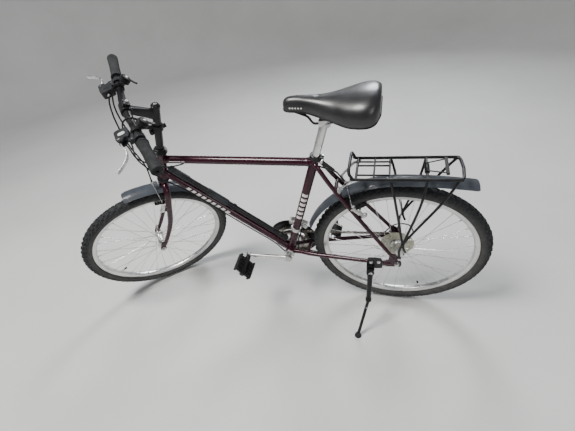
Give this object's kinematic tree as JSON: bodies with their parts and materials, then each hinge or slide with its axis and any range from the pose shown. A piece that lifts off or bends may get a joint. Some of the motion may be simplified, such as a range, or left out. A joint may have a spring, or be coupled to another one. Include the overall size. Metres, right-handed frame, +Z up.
{
  "type": "bicycle on stand",
  "caption": "Touring bicycle leaning on a side stand, with steering, turning wheels and cranks, rim brakes, gears, mudguards, rear rack and frame pump.",
  "frame": {"origin": "centre of the ground rectangle under the whole bicycle, on the floor", "axes": "+X points to the rear of the bicycle, +Y to its chain side, +Z up; the bicycle leans toward -Y on its stand"},
  "size_m": [1.6601, 0.5998, 1.0998],
  "materials": {
    "paint_maroon": "gloss metallic paint",
    "steel_silver": "brushed and polished",
    "alloy_black": "satin black",
    "rubber_black": "matt",
    "plastic_grey": "matt, lightly scuffed",
    "plastic_black": "satin",
    "vinyl_black": "smooth grained cover",
    "plastic_yellowed": "aged, slightly yellow",
    "chain_steel": "dark, lightly oiled"
  },
  "bodies": {
    "frame": {"frame": "paint_maroon", "headset_lower_cup": "alloy_black", "headset_upper_cup": "alloy_black", "seat_clamp": "alloy_black", "front_derailleur": "steel_silver", "rear_derailleur_body": "plastic_black", "rear_mudguard": "plastic_grey", "rear_rack": "alloy_black", "rack_strap_left": "steel_silver", "rack_strap_right": "steel_silver", "pump_barrel": "plastic_black", "pump_handle": "plastic_grey", "stand_bracket": "alloy_black", "rear_axle": "steel_silver", "rear_brake_straddle": "steel_silver", "cable_rear_brake": "plastic_black", "cable_rear_gear": "plastic_black", "cable_front_gear": "plastic_black", "chain": "chain_steel"},
    "steering": {"fork": "paint_maroon", "stem": "alloy_black", "handlebar": "alloy_black", "grip_left": "rubber_black", "grip_right": "rubber_black", "brake_lever_body_left": "plastic_black", "brake_lever_body_right": "plastic_black", "shifter_body_left": "plastic_black", "shifter_body_right": "plastic_black", "front_mudguard": "plastic_grey", "quill_bracket": "alloy_black", "front_axle": "steel_silver", "front_brake_straddle": "steel_silver", "cable_front_brake": "plastic_black"},
    "front_wheel": {"front_tyre": "rubber_black", "front_rim": "steel_silver", "front_hub_and_spokes": "steel_silver"},
    "rear_wheel": {"rear_tyre": "rubber_black", "rear_rim": "steel_silver", "rear_hub_and_spokes": "steel_silver", "spoke_protector": "plastic_yellowed"},
    "cranks": {"crank_left": "steel_silver", "crank_right": "steel_silver", "chainrings": "alloy_black"},
    "sprockets": {"sprocket_cluster": "chain_steel"},
    "pedal_left": {"pedal_left": "plastic_black"},
    "pedal_right": {"pedal_right": "plastic_black"},
    "stand_leg": {"stand_leg": "alloy_black"},
    "seat": {"seat_post": "steel_silver", "saddle_rails": "chain_steel", "saddle_cushion": "vinyl_black"},
    "rack_clip": {"rack_clip": "alloy_black"},
    "derailleur_cage": {"rear_derailleur_cage": "steel_silver"},
    "brake_lever_left": {"brake_lever_blade_left": "steel_silver"},
    "brake_lever_right": {"brake_lever_blade_right": "steel_silver"},
    "shifter_left": {"shifter_lever_left": "steel_silver"},
    "shifter_right": {"shifter_lever_right": "steel_silver"},
    "front_brake_left": {"front_brake_arm_left": "steel_silver"},
    "front_brake_right": {"front_brake_arm_right": "steel_silver"},
    "rear_brake_left": {"rear_brake_arm_left": "steel_silver"},
    "rear_brake_right": {"rear_brake_arm_right": "steel_silver"}
  },
  "joints": [
    {"name": "steering", "type": "hinge", "parent": "frame", "child": "steering", "pos_m": [-0.36978, 0.0256, 0.71562], "axis": [0.3633, -0.1453, 0.9203], "range_deg": [-85, 30], "deforming": ["cable_rear_brake", "cable_rear_gear", "cable_front_gear"]},
    {"name": "front_wheel_spin", "type": "hinge", "parent": "steering", "child": "front_wheel", "pos_m": [-0.56339, 0.06163, 0.30876], "axis": [-0.6084, 0.7111, 0.3525], "continuous": true},
    {"name": "rear_wheel_spin", "type": "hinge", "parent": "frame", "child": "rear_wheel", "pos_m": [0.50293, 0.08854, 0.32437], "axis": [-0.0011, 0.9877, 0.1564], "continuous": true},
    {"name": "crank_spin", "type": "hinge", "parent": "frame", "child": "cranks", "pos_m": [0.06816, 0.09354, 0.28971], "axis": [-0.0011, 0.9877, 0.1564], "continuous": true},
    {"name": "sprocket_spin", "type": "hinge", "parent": "frame", "child": "sprockets", "pos_m": [0.50293, 0.08854, 0.32437], "axis": [-0.0011, 0.9877, 0.1564], "continuous": true},
    {"name": "pedal_left_spin", "type": "hinge", "parent": "cranks", "child": "pedal_left", "pos_m": [-0.10079, 0.01053, 0.29486], "axis": [-0.0011, 0.9877, 0.1564], "continuous": true},
    {"name": "pedal_right_spin", "type": "hinge", "parent": "cranks", "child": "pedal_right", "pos_m": [0.2371, 0.17903, 0.28495], "axis": [-0.0011, 0.9877, 0.1564], "continuous": true},
    {"name": "stand_fold", "type": "hinge", "parent": "frame", "child": "stand_leg", "pos_m": [0.40725, -0.00919, 0.27784], "axis": [0.1939, -0.981, -0.0028], "range_deg": [0, 92]},
    {"name": "seat_post_height", "type": "slide", "parent": "frame", "child": "seat", "axis": [0.319, -0.1479, 0.9361], "range_m": [-0.08, 0.04]},
    {"name": "rack_clip_lift", "type": "hinge", "parent": "frame", "child": "rack_clip", "pos_m": [0.57019, 0.02675, 0.71499], "axis": [0.0011, -0.9877, -0.1564], "range_deg": [0, 75], "stiffness_Nm_per_rad": 0.6, "springref_deg": -28.65},
    {"name": "rear_derailleur_cage_swing", "type": "hinge", "parent": "frame", "child": "derailleur_cage", "pos_m": [0.51549, 0.14201, 0.24383], "axis": [0.0011, -0.9877, -0.1564], "range_deg": [-12, 18], "stiffness_Nm_per_rad": 0.4, "deforming": ["chain"]},
    {"name": "brake_lever_left_pull", "type": "hinge", "parent": "steering", "child": "brake_lever_left", "pos_m": [-0.28528, -0.20202, 0.92346], "axis": [0.0767, -0.3894, 0.9179], "range_deg": [0, 22.5], "stiffness_Nm_per_rad": 0.8, "springref_deg": -8.59},
    {"name": "brake_lever_right_pull", "type": "hinge", "parent": "steering", "child": "brake_lever_right", "pos_m": [-0.45563, -0.00291, 1.02216], "axis": [-0.0767, 0.3894, -0.9179], "range_deg": [0, 22.5], "stiffness_Nm_per_rad": 0.8, "springref_deg": -8.59},
    {"name": "shifter_left_turn", "type": "hinge", "parent": "steering", "child": "shifter_left", "pos_m": [-0.23123, -0.14312, 0.96035], "axis": [0.714, 0.2965, 0.6343], "range_deg": [-60, 35]},
    {"name": "shifter_right_turn", "type": "hinge", "parent": "steering", "child": "shifter_right", "pos_m": [-0.37481, 0.0247, 1.04354], "axis": [0.714, 0.2965, 0.6343], "range_deg": [-35, 60]},
    {"name": "front_brake_arm_left_close", "type": "hinge", "parent": "steering", "child": "front_brake_left", "pos_m": [-0.41458, 0.02295, 0.51882], "axis": [-0.7056, -0.6879, 0.1699], "range_deg": [0, 4.5]},
    {"name": "front_brake_arm_right_close", "type": "hinge", "parent": "steering", "child": "front_brake_right", "pos_m": [-0.46812, 0.08552, 0.54984], "axis": [0.7056, 0.6879, -0.1699], "range_deg": [0, 4.5]},
    {"name": "rear_brake_arm_left_close", "type": "hinge", "parent": "frame", "child": "rear_brake_left", "pos_m": [0.36441, 0.01188, 0.52611], "axis": [-0.8247, 0.0876, -0.5587], "range_deg": [0, 4.5]},
    {"name": "rear_brake_arm_right_close", "type": "hinge", "parent": "frame", "child": "rear_brake_right", "pos_m": [0.36431, 0.0988, 0.53988], "axis": [0.8247, -0.0876, 0.5587], "range_deg": [0, 4.5]}
  ],
  "couplings": [
    {"joint": "sprocket_spin", "follows": "crank_spin", "ratio": 1.3333},
    {"joint": "front_brake_arm_left_close", "follows": "brake_lever_right_pull", "ratio": 0.2},
    {"joint": "rear_brake_arm_left_close", "follows": "brake_lever_left_pull", "ratio": 0.2},
    {"joint": "front_brake_arm_right_close", "follows": "brake_lever_right_pull", "ratio": 0.2},
    {"joint": "rear_brake_arm_right_close", "follows": "brake_lever_left_pull", "ratio": 0.2}
  ]
}
